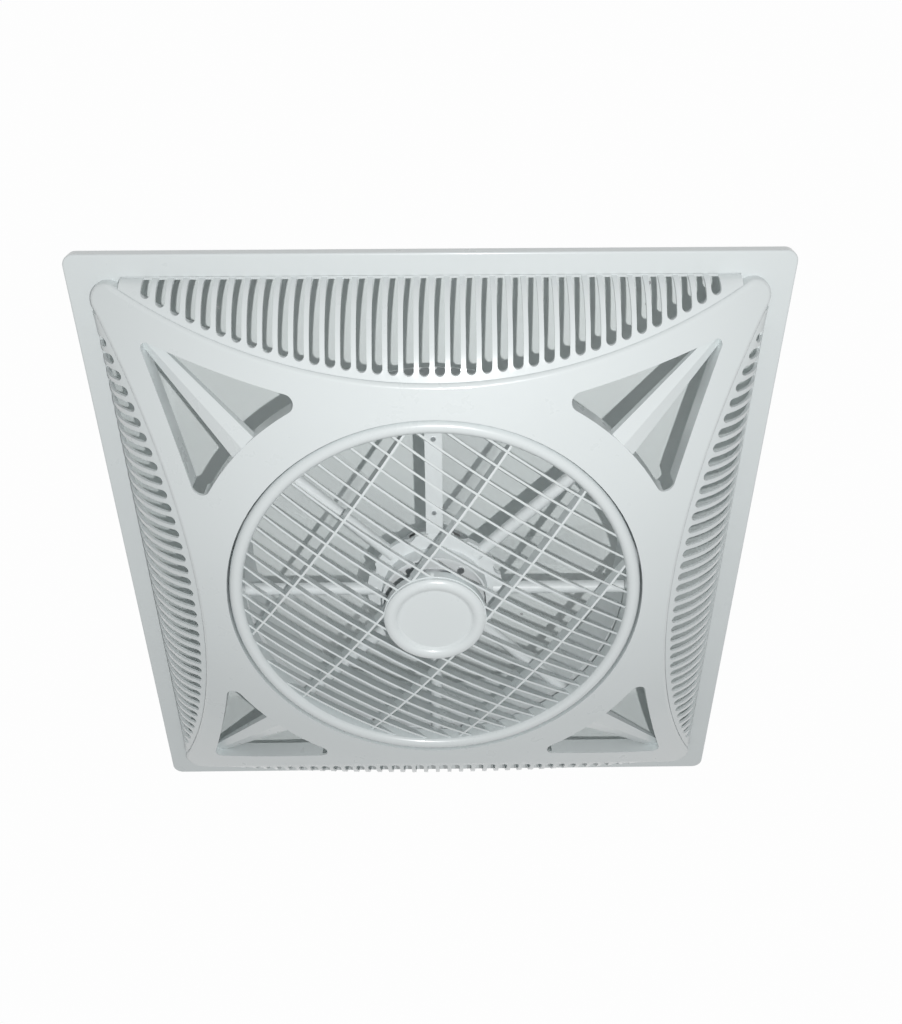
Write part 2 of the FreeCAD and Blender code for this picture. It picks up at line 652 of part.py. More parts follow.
def spider():
    """Eight-armed guard with a scalloped hub and the cup that shields the swing motor."""
    ring = tube(SPIDER_RING_OUTER, SPIDER_RING_INNER, COLLAR_TOP, SPIDER_RING_TOP)
    half = ARM_WIDTH / 2
    shoulder = ARM_LOW + half
    start, end = SPIDER_HUB_RADIUS - SCALLOP_RADIUS, SPIDER_RING_INNER + ARM_LAP
    face = Part.Face(Part.Wire([
        Part.LineSegment(V(start, -half, ARM_TOP), V(start, -half, shoulder)).toShape(),
        Part.Arc(V(start, -half, shoulder), V(start, 0, ARM_LOW), V(start, half, shoulder)).toShape(),
        Part.LineSegment(V(start, half, shoulder), V(start, half, ARM_TOP)).toShape(),
        Part.LineSegment(V(start, half, ARM_TOP), V(start, -half, ARM_TOP)).toShape(),
    ]))
    round_arm = face.extrude(V(end - start, 0, 0))
    flat_arm = block(start, end, -half, half, FLAT_ARM_LOW, ARM_TOP)
    arms = [around(flat_arm if angle == 270 else round_arm, [angle])[0] for angle in ARM_ANGLES]
    hub = cylinder(SPIDER_HUB_RADIUS, SPIDER_HUB_LOW, ARM_TOP)
    for angle in BETWEEN_ARMS:
        hub = hub.cut(cylinder(SCALLOP_RADIUS, SPIDER_HUB_LOW, ARM_TOP, *on_circle(SCALLOP_CIRCLE, angle)))
    cup = tube(CUP_RADIUS, CUP_RADIUS - CUP_WALL, SPIDER_HUB_LOW - CUP_HEIGHT, SPIDER_HUB_LOW)
    body = fused([ring, hub, cup] + arms)
    for angle in BETWEEN_ARMS:
        body = body.cut(cylinder(SMALL_SHANK + LOOSE, COLLAR_TOP, SPIDER_RING_TOP, *on_circle(BOSS_CIRCLE, angle)))
    for x, y in cover_screw_places():
        body = body.cut(cylinder(TINY_SHANK + FIT, FLAT_ARM_LOW, FLAT_ARM_LOW + COVER_SCREW_BITE, x, y))
    for x, y in swing_screw_places():
        body = body.cut(cylinder(SMALL_SHANK + FIT, SPIDER_HUB_LOW, SPIDER_HUB_LOW + SWING_SCREW_BITE, x, y))
    for x, y in motor_screw_places():
        body = body.cut(cylinder(SMALL_SHANK + LOOSE, SPIDER_HUB_LOW, ARM_TOP, x, y))
    return body


def cover_screw_places():
    return [(0, -COVER_START - COVER_SCREW_INSET), (0, -COVER_END + COVER_SCREW_INSET)]


def swing_screw_places():
    return [on_circle(SWING_EAR_CIRCLE, angle) for angle in (0, 180)]


def casing_screw_places():
    edge = CASING_SIDE / 2 + CASING_FLANGE / 2
    corners = [(side * CASING_SCREW_PLACE, -edge) for side in (-1, 1)]
    places = []
    for angle in QUARTERS:
        turn = FreeCAD.Rotation(UP, angle)
        for x, y in corners:
            point = turn.multVec(V(x, y, 0))
            places.append((point.x, point.y))
    return places


def spider_screws():
    tip = COLLAR_TOP - SPIDER_SCREW_BITE
    return [screw(SMALL_SHANK, SMALL_HEAD, SMALL_HEAD_HEIGHT, SHROUD_FLANGE_TOP, tip, *on_circle(BOSS_CIRCLE, angle))
            for angle in BETWEEN_ARMS]


def arm_cable_cover():
    """Shallow channel that hides the swing motor's lead along the flat arm."""
    inner = ARM_WIDTH / 2 + LOOSE
    outer = inner + COVER_WALL
    seat = FLAT_ARM_LOW
    channel = block(-outer, outer, -COVER_END, -COVER_START, seat - COVER_WALL, seat + COVER_LIP)
    channel = channel.cut(block(-inner, inner, -COVER_END, -COVER_START, seat, seat + COVER_LIP))
    for x, y in cover_screw_places():
        channel = channel.cut(cylinder(TINY_SHANK + LOOSE, seat - COVER_WALL, seat, x, y))
    return channel


def cover_screws():
    seat = FLAT_ARM_LOW - COVER_WALL
    return [screw(TINY_SHANK, TINY_HEAD, TINY_HEAD_HEIGHT, seat, FLAT_ARM_LOW + COVER_SCREW_BITE, x, y)
            for x, y in cover_screw_places()]


def swing_motor():
    """Synchronous gear motor: round can with two ears and a nose for its slow shaft."""
    can = cylinder(SWING_CAN_RADIUS, SWING_CAN_LOW, SPIDER_HUB_LOW)
    nose = cylinder(SWING_NOSE_RADIUS, SWING_NOSE_LOW, SWING_CAN_LOW)
    ear_low = SPIDER_HUB_LOW - SWING_EAR_THICKNESS
    ears = [cylinder(SWING_EAR_RADIUS, ear_low, SPIDER_HUB_LOW, x, y) for x, y in swing_screw_places()]
    bridge = block(-SWING_EAR_CIRCLE, SWING_EAR_CIRCLE, -SWING_EAR_RADIUS, SWING_EAR_RADIUS, ear_low, SPIDER_HUB_LOW)
    body = fused([can, nose, bridge] + ears)
    for x, y in swing_screw_places():
        body = body.cut(cylinder(SMALL_SHANK + LOOSE, ear_low, SPIDER_HUB_LOW, x, y))
    return body.cut(cylinder(SWING_SHAFT_RADIUS + FIT, SWING_NOSE_LOW, -SWING_SHAFT_TOP_DEPTH + LOOSE))


def swing_motor_screws():
    seat = SPIDER_HUB_LOW - SWING_EAR_THICKNESS
    return [screw(SMALL_SHANK, SMALL_HEAD, SMALL_HEAD_HEIGHT, seat, SPIDER_HUB_LOW + SWING_SCREW_BITE, x, y)
            for x, y in swing_screw_places()]


def air_shroud():
    """Ring round the impeller with a rolled bell mouth at the top and a flange on the spider's ring."""
    inner, outer = SHROUD_RADIUS, SHROUD_RADIUS + SHROUD_WALL
    low, flange = SPIDER_RING_TOP, SHROUD_FLANGE_TOP
    high = low + SHROUD_STRAIGHT
    mouth = SHROUD_MOUTH_RADIUS
    lip = mouth - SHROUD_WALL
    centre = inner + mouth
    slant = math.sqrt(0.5)
    shroud = turned(
        (inner, low), (inner, high), ((centre - mouth * slant, high + mouth * slant), (centre, high + mouth)),
        (centre, high + lip), ((centre - lip * slant, high + lip * slant), (outer, high)),
        (outer, flange), (SPIDER_RING_OUTER, flange), (SPIDER_RING_OUTER, low),
    )
    for angle in BETWEEN_ARMS:
        shroud = shroud.cut(cylinder(SMALL_SHANK + LOOSE, low, flange, *on_circle(BOSS_CIRCLE, angle)))
    return shroud


def tapered_block(low_side, top_side, corner, edge, low, top):
    """Square block that narrows towards its top, with rounded corners and a rounded top edge."""
    half, top_half = low_side / 2, top_side / 2
    narrowing = Part.makeWedge(-half, low, -half, -top_half, -top_half, half, top, half, top_half, top_half)
    narrowing.rotate(FreeCAD.Vector(), FreeCAD.Vector(1, 0, 0), 90)
    slanting = [line for line in narrowing.Edges if line.BoundBox.ZLength > (top - low) / 2]
    narrowing = narrowing.makeFillet(corner, slanting)
    return narrowing.makeFillet(edge, level_edges(narrowing, top))


def rear_casing():
    """Drawn square tub that narrows to its back, with a screw flange that sits on the border's back."""
    low = BORDER_THICKNESS
    tub = tapered_block(CASING_SIDE, CASING_BACK_SIDE, CASING_CORNER_RADIUS, CASING_EDGE_RADIUS, low, CASING_TOP)
    flange_side = CASING_SIDE + 2 * CASING_FLANGE
    flange = rounded_slab(flange_side, flange_side, CASING_CORNER_RADIUS + CASING_FLANGE, low, low + CASING_WALL)
    wall_narrowing_share = CASING_WALL / CASING_HEIGHT
    ceiling_side = CASING_BACK_SIDE + (CASING_SIDE - CASING_BACK_SIDE) * wall_narrowing_share
    room = tapered_block(CASING_SIDE - 2 * CASING_WALL, ceiling_side - 2 * CASING_WALL,
                         CASING_CORNER_RADIUS - CASING_WALL, CASING_EDGE_RADIUS - CASING_WALL, low, CASING_CEILING)
    casing = tub.fuse(flange).cut(room)
    for x, y in casing_screw_places():
        casing = casing.cut(cylinder(SMALL_SHANK + LOOSE, low, low + CASING_WALL, x, y))
    for x, y in hanger_screw_places() + box_screw_places() + strap_screw_places():
        casing = casing.cut(cylinder(SMALL_SHANK + FIT, CASING_CEILING, CASING_TOP, x, y))
    return casing.removeSplitter()


def casing_screws():
    seat = BORDER_THICKNESS + CASING_WALL
    return [screw(SMALL_SHANK, SMALL_HEAD, SMALL_HEAD_HEIGHT, seat, BORDER_THICKNESS - CASING_SCREW_BITE, x, y)
            for x, y in casing_screw_places()]


def motor_screw_places():
    return [on_circle(MOTOR_SCREW_CIRCLE, angle + 45) for angle in QUARTERS]


def motor_screws():
    """Screws from inside the cup, through the spider's hub and into the motor's rear bell."""
    return [screw(SMALL_SHANK, SMALL_HEAD, SMALL_HEAD_HEIGHT, SPIDER_HUB_LOW, MOTOR_LOW + MOTOR_SCREW_BITE, x, y)
            for x, y in motor_screw_places()]


def bell(rim, end):
    """Motor end bell from the core's face at rim to its closed face at end, with vents, ears and a bearing seat."""
    up = 1 if end > rim else -1
    floor = end - up * BELL_WALL
    seat = floor - up * BEARING_HEIGHT
    ear_end = rim + up * EAR_HEIGHT

    def between(radius, z_a, z_b, x=0, y=0):
        return cylinder(radius, min(z_a, z_b), max(z_a, z_b), x, y)

    cup = between(MOTOR_RADIUS, rim, end).cut(between(MOTOR_RADIUS - BELL_WALL, rim, floor))
    housing = between(BEARING_RADIUS + BEARING_HOUSING_WALL, seat, floor)
    ears = [between(EAR_RADIUS, rim, ear_end, *on_circle(EAR_CIRCLE, angle)) for angle in QUARTERS]
    inside = between(MOTOR_RADIUS - BELL_WALL, rim, ear_end)
    shape = fused([cup, housing] + [ear.cut(inside) for ear in ears])
    shape = shape.cut(between(BEARING_RADIUS + FIT, seat, floor))
    for angle in QUARTERS:
        shape = shape.cut(between(THROUGH_BOLT_RADIUS + LOOSE, rim, ear_end, *on_circle(EAR_CIRCLE, angle)))
    middle = (ear_end + floor) / 2
    vent = block(MOTOR_RADIUS - 2 * BELL_WALL, MOTOR_RADIUS + BELL_WALL, -VENT_WIDTH / 2, VENT_WIDTH / 2,
                 middle - VENT_HEIGHT / 2, middle + VENT_HEIGHT / 2)
    for opening in around(vent, [index * 360 / VENT_COUNT for index in range(VENT_COUNT)]):
        shape = shape.cut(opening)
    return shape


def motor_rear_bell():
    shape = bell(CORE_LOW, MOTOR_LOW)
    for x, y in motor_screw_places():
        shape = shape.cut(cylinder(SMALL_SHANK + FIT, MOTOR_LOW, MOTOR_LOW + BELL_WALL, x, y))
    return shape


def motor_front_bell():
    shape = bell(CORE_TOP, MOTOR_TOP)
    return shape.cut(cylinder(SHAFT_RADIUS + OVERRUN, MOTOR_TOP - BELL_WALL, MOTOR_TOP))


def motor_bearing(low):
    return tube(BEARING_RADIUS, SHAFT_RADIUS + FIT, low, low + BEARING_HEIGHT)


def stator_core():
    core = tube(MOTOR_RADIUS, CORE_BORE_RADIUS, CORE_LOW, CORE_TOP)
    circle = (WINDING_INNER_RADIUS + WINDING_OUTER_RADIUS) / 2
    for index in range(CORE_SLOT_COUNT):
        x, y = on_circle(circle, index * 360 / CORE_SLOT_COUNT)
        core = core.cut(cylinder(CORE_SLOT_RADIUS, CORE_LOW, CORE_TOP, x, y))
    return core


def stator_windings():
    """Varnished end turns as a rounded ring on each face of the core."""
    rings = []
    for low in (CORE_TOP, CORE_LOW - WINDING_HEIGHT):
        ring = tube(WINDING_OUTER_RADIUS, WINDING_INNER_RADIUS, low, low + WINDING_HEIGHT)
        far = low + WINDING_HEIGHT if low == CORE_TOP else low
        rings.append(ring.makeFillet(WINDING_ROUND, level_edges(ring, far)))
    return rings


def motor_through_bolts():
    seat = CORE_LOW - EAR_HEIGHT
    nut = CORE_TOP + EAR_HEIGHT
    bolts = []
    for angle in QUARTERS:
        x, y = on_circle(EAR_CIRCLE, angle)
        bolt = screw(THROUGH_BOLT_RADIUS, SMALL_HEAD + LOOSE, SMALL_HEAD_HEIGHT, seat, nut, x, y)
        bolts.append(bolt.fuse(cylinder(SMALL_HEAD + LOOSE, nut, nut + SMALL_HEAD_HEIGHT, x, y)))
    return bolts


def motor_shaft():
    shaft = cylinder(SHAFT_RADIUS, MOTOR_LOW + BELL_WALL + SHAFT_END_GAP, NUT_TOP)
    return shaft.cut(drive_pin_hole())


def pin_height():
    return IMPELLER_HUB_LOW + PIN_RADIUS + FIT


def drive_pin_hole():
    half = PIN_LENGTH / 2 + OVERRUN
    return Part.makeCylinder(PIN_RADIUS + FIT, 2 * half, V(-half, 0, pin_height()), V(1, 0, 0))


def drive_pin():
    return Part.makeCylinder(PIN_RADIUS, PIN_LENGTH, V(-PIN_LENGTH / 2, 0, pin_height()), V(1, 0, 0))


def rotor_core():
    return tube(CORE_BORE_RADIUS - ROTOR_GAP, SHAFT_RADIUS + FIT / 2, CORE_LOW, CORE_TOP)


def blade_section(radius, chord, pitch):
    """Thin cambered section across a blade, in the upright plane at this radius."""
    turn = math.radians(pitch)
    along = V(0, math.cos(turn), math.sin(turn))
    across = V(0, -math.sin(turn), math.cos(turn))
    middle = V(radius, 0, BLADE_MIDDLE)
    camber = across * (chord * BLADE_CAMBER_SHARE)
    half = across * (BLADE_THICKNESS / 2)
    lead, trail = middle + along * (chord / 2), middle - along * (chord / 2)
    return Part.Wire([
        Part.Arc(trail - half, middle + camber - half, lead - half).toShape(),
        Part.LineSegment(lead - half, lead + half).toShape(),
        Part.Arc(lead + half, middle + camber + half, trail + half).toShape(),
        Part.LineSegment(trail + half, trail - half).toShape(),
    ])


def impeller():
    """Moulded hub with twisted blades, a cross slot for the drive pin and a nose that takes the nut."""
    low, high, radius = IMPELLER_HUB_LOW, IMPELLER_HUB_TOP, IMPELLER_HUB_RADIUS
    hub = cylinder(radius, low, high)
    hub = hub.makeFillet(IMPELLER_HUB_ROUND, level_edges(hub, high))
    middle_share = 0.5
    sections = []
    for share in (0, middle_share, 1):
        sections.append(blade_section(
            BLADE_ROOT_RADIUS + (BLADE_TIP_RADIUS - BLADE_ROOT_RADIUS) * share,
            BLADE_ROOT_CHORD + (BLADE_TIP_CHORD - BLADE_ROOT_CHORD) * share,
            BLADE_ROOT_PITCH + (BLADE_TIP_PITCH - BLADE_ROOT_PITCH) * share))
    blade = Part.makeLoft(sections, True, False)
    blade = blade.common(tube(BLADE_TIP_RADIUS, IMPELLER_HUB_RADIUS - BLADE_THICKNESS, COLLAR_TOP, CASING_CEILING))
    wheel = hub.multiFuse(around(blade, [index * 360 / BLADE_COUNT for index in range(BLADE_COUNT)]))
    wheel = wheel.cut(cylinder(SHAFT_RADIUS + FIT, low, high))
    half, width = PIN_LENGTH / 2 + FIT, PIN_RADIUS + FIT
    return wheel.cut(block(-half, half, -width, width, low - OVERRUN, low + 2 * width))


def impeller_nut():
    return hexagon(NUT_RADIUS, IMPELLER_HUB_TOP, NUT_TOP).cut(cylinder(SHAFT_RADIUS + FIT, IMPELLER_HUB_TOP, NUT_TOP))


def hanger_screw_places():
    """Two screws in each bracket's foot."""
    foot = HANGER_SPACING / 2 - HANGER_EAR / 2 - HANGER_SHEET - HANGER_FOOT / 2
    half = HANGER_SPACING / 2
    return [(side_x * foot, side_y * half + shift * HANGER_SCREW_SPACING / 2)
            for side_x in (-1, 1) for side_y in (-1, 1) for shift in (-1, 1)]


def hanger_bracket(side_x, side_y):
    """Folded strip: foot on the casing, riser, and an ear with the hole for a drop rod."""
    rod_x = HANGER_SPACING / 2
    half = HANGER_WIDTH / 2
    ear_in, ear_out = rod_x - HANGER_EAR / 2, rod_x + HANGER_EAR / 2
    riser_in = ear_in - HANGER_SHEET
    low, top = CASING_TOP, CASING_TOP + HANGER_RISE
    foot = block(riser_in - HANGER_FOOT, ear_in, -half, half, low, low + HANGER_SHEET)
    riser = block(riser_in, ear_in, -half, half, low, top)
    ear = block(riser_in, ear_out, -half, half, top - HANGER_SHEET, top)
    bracket = fused([foot, riser, ear])
    bracket = bracket.cut(cylinder(HANGER_HOLE_RADIUS, top - HANGER_SHEET, top, rod_x, 0))
    for shift in (-1, 1):
        y = shift * HANGER_SCREW_SPACING / 2
        bracket = bracket.cut(cylinder(SMALL_SHANK + LOOSE, low, low + HANGER_SHEET, riser_in - HANGER_FOOT / 2, y))
    if side_x < 0:
        bracket = around(bracket, [180])[0]
    return moved(bracket, 0, side_y * HANGER_SPACING / 2)


def plate_screws(places, sheet):
    """Short screws through a sheet into the casing's back."""
    return [screw(SMALL_SHANK, SMALL_HEAD, SMALL_HEAD_HEIGHT, CASING_TOP + sheet, CASING_CEILING, x, y)
            for x, y in places]


def box_screw_places():
    return [(side * BOX_LENGTH / 4, BOX_PLACE + BOX_WIDTH / 4) for side in (-1, 1)]


def post_places():
    x = BOX_LENGTH / 2 - POST_INSET
    y = BOX_WIDTH / 2 - POST_INSET
    return [(side_x * x, BOX_PLACE + side_y * y) for side_x in (-1, 1) for side_y in (-1, 1)]


def terminal_box():
    """Open moulded box with four lid posts and the gland's hole in its outer side."""
    low, top = CASING_TOP, BOX_TOP
    shell = rounded_slab(BOX_LENGTH, BOX_WIDTH, BOX_CORNER, low, top)
    room = rounded_slab(BOX_LENGTH - 2 * BOX_WALL, BOX_WIDTH - 2 * BOX_WALL, BOX_CORNER - BOX_WALL,
                        low + BOX_WALL, top + OVERRUN)
    shell = moved(shell.cut(room), 0, BOX_PLACE)
    shell = fused([shell] + [cylinder(POST_RADIUS, low, top - LID_LIP, x, y) for x, y in post_places()])
    for x, y in post_places():
        shell = shell.cut(cylinder(SMALL_SHANK + FIT, top - LID_SCREW_BITE - OVERRUN, top, x, y))
    for x, y in box_screw_places():
        shell = shell.cut(cylinder(SMALL_SHANK + LOOSE, low, low + BOX_WALL, x, y))
    outside = BOX_PLACE + BOX_WIDTH / 2
    hole = Part.makeCylinder(GLAND_THREAD_RADIUS + LOOSE, BOX_WALL + 2 * OVERRUN,
                             V(0, outside - BOX_WALL - OVERRUN, GLAND_Z), V(0, 1, 0))
    return shell.cut(hole)


def terminal_box_lid():
    lid = rounded_slab(BOX_LENGTH, BOX_WIDTH, BOX_CORNER, BOX_TOP, BOX_TOP + LID_THICKNESS)
    inset = 2 * (BOX_WALL + LOOSE)
    lip = rounded_slab(BOX_LENGTH - inset, BOX_WIDTH - inset, BOX_CORNER - BOX_WALL - LOOSE,
                       BOX_TOP - LID_LIP, BOX_TOP)
    lid = moved(lid.fuse(lip), 0, BOX_PLACE)
    for x, y in post_places():
        lid = lid.cut(cylinder(SMALL_SHANK + LOOSE, BOX_TOP - LID_LIP, BOX_TOP + LID_THICKNESS, x, y))
    return lid.removeSplitter()


def lid_screws():
    seat = BOX_TOP + LID_THICKNESS
    return [screw(SMALL_SHANK, SMALL_HEAD, SMALL_HEAD_HEIGHT, seat, BOX_TOP - LID_SCREW_BITE, x, y)
            for x, y in post_places()]


def terminal_block():
    """Screw terminal strip on the box's floor."""
    low = CASING_TOP + BOX_WALL
    y_mid = BOX_PLACE - BOX_WIDTH / 4
    strip = block(-BLOCK_LENGTH / 2, BLOCK_LENGTH / 2, y_mid - BLOCK_WIDTH / 2, y_mid + BLOCK_WIDTH / 2,
                  low, low + BLOCK_HEIGHT)
    pitch = BLOCK_LENGTH / BLOCK_WAYS
    for index in range(BLOCK_WAYS):
        x = (index - (BLOCK_WAYS - 1) / 2) * pitch
        well_low = low + BLOCK_HEIGHT - BLOCK_WELL_DEPTH
        strip = strip.cut(cylinder(BLOCK_WELL_RADIUS, well_low, low + BLOCK_HEIGHT, x, y_mid))
    return strip


def along_y(shape, y):
    """Lays a shape built on Z along +Y at the gland's height, with its z = 0 plane at y."""
    copy = shape.copy()
    copy.rotate(ORIGIN, V(1, 0, 0), -90)
    copy.translate(V(0, y, GLAND_Z))
    return copy


def cable_gland():
    """Hex body outside the box with a domed clamp nut, threaded tail inside and a clear bore."""
    tail = -BOX_WALL - GLAND_NUT_HEIGHT - GLAND_THREAD_SPARE
    tip = GLAND_HEX_LENGTH + GLAND_DOME_LENGTH
    dome = cylinder(GLAND_DOME_RADIUS, GLAND_HEX_LENGTH, tip)
    dome = dome.makeFillet(GLAND_DOME_RADIUS / 3, level_edges(dome, tip))
    body = fused([cylinder(GLAND_THREAD_RADIUS, tail, 0), hexagon(GLAND_HEX_RADIUS, 0, GLAND_HEX_LENGTH), dome])
    return along_y(body.cut(cylinder(GLAND_BORE, tail, tip)), BOX_PLACE + BOX_WIDTH / 2)


def gland_nut():
    nut = hexagon(GLAND_HEX_RADIUS, -BOX_WALL - GLAND_NUT_HEIGHT, -BOX_WALL)
    nut = nut.cut(cylinder(GLAND_THREAD_RADIUS + FIT, -BOX_WALL - GLAND_NUT_HEIGHT, -BOX_WALL))
    return along_y(nut, BOX_PLACE + BOX_WIDTH / 2)


def capacitor():
    """Flat-sided run capacitor with round ends."""
    can = rounded_slab(CAPACITOR_LENGTH, CAPACITOR_WIDTH, CAPACITOR_WIDTH / 2 - FIT, CASING_TOP,
                       CASING_TOP + CAPACITOR_HEIGHT)
    return moved(can, CAPACITOR_PLACE, BOX_PLACE)


def strap_screw_places():
    reach = CAPACITOR_WIDTH / 2 + STRAP_SHEET + STRAP_FOOT / 2
    return [(CAPACITOR_PLACE, BOX_PLACE + side * reach) for side in (-1, 1)]


def capacitor_strap():
    half = STRAP_WIDTH / 2
    wide = CAPACITOR_WIDTH / 2 + LOOSE
    out = CAPACITOR_WIDTH / 2 + STRAP_SHEET
    low, top = CASING_TOP, CASING_TOP + CAPACITOR_HEIGHT + STRAP_SHEET
    bridge = block(-half, half, -out, out, low, top).cut(block(-half, half, -wide, wide, low, top - STRAP_SHEET))
    feet = [block(-half, half, min(side * wide, side * (out + STRAP_FOOT)), max(side * wide, side * (out + STRAP_FOOT)),
                  low, low + STRAP_SHEET) for side in (-1, 1)]
    strap = moved(fused([bridge] + feet), CAPACITOR_PLACE, BOX_PLACE)
    for x, y in strap_screw_places():
        strap = strap.cut(cylinder(SMALL_SHANK + LOOSE, low, low + STRAP_SHEET, x, y))
    return strap


def back_screws():
    """All the short screws in the casing's back: hangers, terminal box and capacitor strap."""
    return {
        "hanger_screws": plate_screws(hanger_screw_places(), HANGER_SHEET),
        "terminal_box_screws": plate_screws(box_screw_places(), BOX_WALL),
        "capacitor_strap_screws": plate_screws(strap_screw_places(), STRAP_SHEET),
    }


def build():
    grille = intake_grille()
    nodes = {"front_panel": front_panel()}
    for name, angle in zip(("front", "right", "back", "left"), QUARTERS):
        nodes["intake_grille_" + name] = around(grille, [angle])[0]
    nodes["spider"] = spider()
    nodes["spider_screws"] = spider_screws()
    nodes["arm_cable_cover"] = arm_cable_cover()
    nodes["cover_screws"] = cover_screws()
    nodes["swing_motor"] = swing_motor()
    nodes["swing_motor_screws"] = swing_motor_screws()
    nodes["air_shroud"] = air_shroud()
    nodes["rear_casing"] = rear_casing()
    nodes["casing_screws"] = casing_screws()
    nodes["motor_screws"] = motor_screws()
    nodes["motor_rear_bell"] = motor_rear_bell()
    nodes["motor_front_bell"] = motor_front_bell()
    nodes["stator_core"] = stator_core()
    nodes["stator_windings"] = stator_windings()
    nodes["motor_through_bolts"] = motor_through_bolts()
    nodes["rear_bearing"] = motor_bearing(MOTOR_LOW + BELL_WALL)
    nodes["front_bearing"] = motor_bearing(MOTOR_TOP - BELL_WALL - BEARING_HEIGHT)
    nodes["motor_shaft"] = motor_shaft()
    nodes["rotor_core"] = rotor_core()
    nodes["impeller"] = impeller()
    nodes["drive_pin"] = drive_pin()
    nodes["impeller_nut"] = impeller_nut()
    nodes["louvre_grille"] = louvre_grille()
    nodes["swing_shaft"] = swing_shaft()
    nodes["louvre_screw"] = louvre_screw()
    nodes["hub_cap"] = hub_cap()
    number = 0
    for side_x in (-1, 1):
        for side_y in (-1, 1):
            number += 1
            nodes["hanger_bracket_%d" % number] = hanger_bracket(side_x, side_y)
    nodes["terminal_box"] = terminal_box()
    nodes["terminal_box_lid"] = terminal_box_lid()
    nodes["lid_screws"] = lid_screws()
    nodes["terminal_block"] = terminal_block()
    nodes["cable_gland"] = cable_gland()
    nodes["gland_nut"] = gland_nut()
    nodes["capacitor"] = capacitor()
    nodes["capacitor_strap"] = capacitor_strap()
    nodes.update(back_screws())
    return nodes


os.makedirs("parts", exist_ok=True)
for node, made in build().items():
    solids = made if isinstance(made, list) else [made]
    shape = Part.makeCompound(solids) if len(solids) > 1 else solids[0]
    shape.exportStep("parts/" + node + ".step")
    print(node, len(shape.Solids), round(shape.Volume), shape.isValid())
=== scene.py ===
"""Dresses the lay-in ceiling fan and builds the studio that it is seen in.

The CAD nodes keep their shapes and get node materials: white mouldings, coated steel, motor metals
and plastics. The driver sockets of the screws on the fan's back are the only added pieces; their
near-black colour is painted shade of the screws' recesses.
"""
import math

import bpy
import numpy as np
from mathutils import Matrix, Vector


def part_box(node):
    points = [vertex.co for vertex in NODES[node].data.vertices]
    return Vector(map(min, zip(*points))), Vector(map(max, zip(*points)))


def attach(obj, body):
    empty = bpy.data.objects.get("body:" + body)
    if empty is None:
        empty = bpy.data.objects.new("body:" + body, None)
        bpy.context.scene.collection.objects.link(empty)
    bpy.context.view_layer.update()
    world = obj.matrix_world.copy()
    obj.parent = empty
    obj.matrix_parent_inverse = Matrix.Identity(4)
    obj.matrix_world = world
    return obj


bl_info = {
    "name": "Lay-in ceiling fan",
    "version": (1, 0, 0),
    "blender": (4, 5, 0),
    "location": "View3D > Sidebar > Ceiling fan",
    "description": "Finishes, driver sockets and studio for a false-ceiling grid fan",
    "category": "Object",
}

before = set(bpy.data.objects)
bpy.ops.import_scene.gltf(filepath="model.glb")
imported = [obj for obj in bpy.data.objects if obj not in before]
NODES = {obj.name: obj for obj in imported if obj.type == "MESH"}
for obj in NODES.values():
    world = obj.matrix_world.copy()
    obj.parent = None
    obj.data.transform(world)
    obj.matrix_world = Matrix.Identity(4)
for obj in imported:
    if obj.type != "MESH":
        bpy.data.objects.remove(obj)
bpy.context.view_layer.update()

WHITE_MOULDINGS = (
    "front_panel", "intake_grille_front", "intake_grille_right", "intake_grille_back",
    "intake_grille_left", "louvre_grille", "hub_cap",
)
INNER_MOULDINGS = ("spider", "arm_cable_cover", "air_shroud")
SOCKET_GROUPS = ("lid_screws", "capacitor_strap_screws", "hanger_screws", "casing_screws")
PLAIN_SCREWS = (
    "spider_screws", "cover_screws", "swing_motor_screws", "motor_screws", "motor_through_bolts",
    "terminal_box_screws", "louvre_screw",
)
SHAFTS = ("drive_pin", "impeller_nut", "motor_shaft", "swing_shaft")
BRIGHT_STEEL = SOCKET_GROUPS + PLAIN_SCREWS + SHAFTS
ZINC_STEEL = tuple(f"hanger_bracket_{number}" for number in (1, 2, 3, 4)) + ("capacitor_strap",)

# How much finer a pattern gets along X, Y and Z, so its marks are drawn out across that direction.
EVEN = (1.0, 1.0, 1.0)
MELT_FLOW = (1.0, 3.0, 1.0)
TURNED = (1.0, 1.0, 6.0)
DRAWN = (1.0, 1.0, 4.0)
ROLLED = (1.0, 5.0, 1.0)

# Sockets of a Mix node that blends colours.
MIX_AMOUNT, MIX_FIRST, MIX_SECOND, MIX_RESULT = 0, 6, 7, 2

SOCKET_ANGLES = 48
SOCKET_RINGS = (1.0, 0.75, 0.5, 0.25, 0.02)
SOCKET_CORE, SOCKET_LOBE, SOCKET_LOBES = 0.62, 0.38, 4.0

SENSOR_WIDTH = 36.0
NEAR_CLIP = 0.01
SURROUND_WHITE = (0.985, 0.985, 0.985, 1.0)


class Wire:
    """A shader socket that takes part in sums: each operator adds the Math node it needs."""

    def __init__(self, paint, socket):
        self.paint = paint
        self.socket = socket

    def __add__(self, other):
        return self.paint.math("ADD", self, other)

    __radd__ = __add__

    def __sub__(self, other):
        return self.paint.math("SUBTRACT", self, other)

    def __rsub__(self, other):
        return self.paint.math("SUBTRACT", other, self)

    def __mul__(self, other):
        return self.paint.math("MULTIPLY", self, other)

    __rmul__ = __mul__

    def __truediv__(self, other):
        return self.paint.math("DIVIDE", self, other)

    def __rtruediv__(self, other):
        return self.paint.math("DIVIDE", other, self)

    def clamped(self):
        return self.paint.math("MINIMUM", self.paint.math("MAXIMUM", self, 0.0), 1.0)


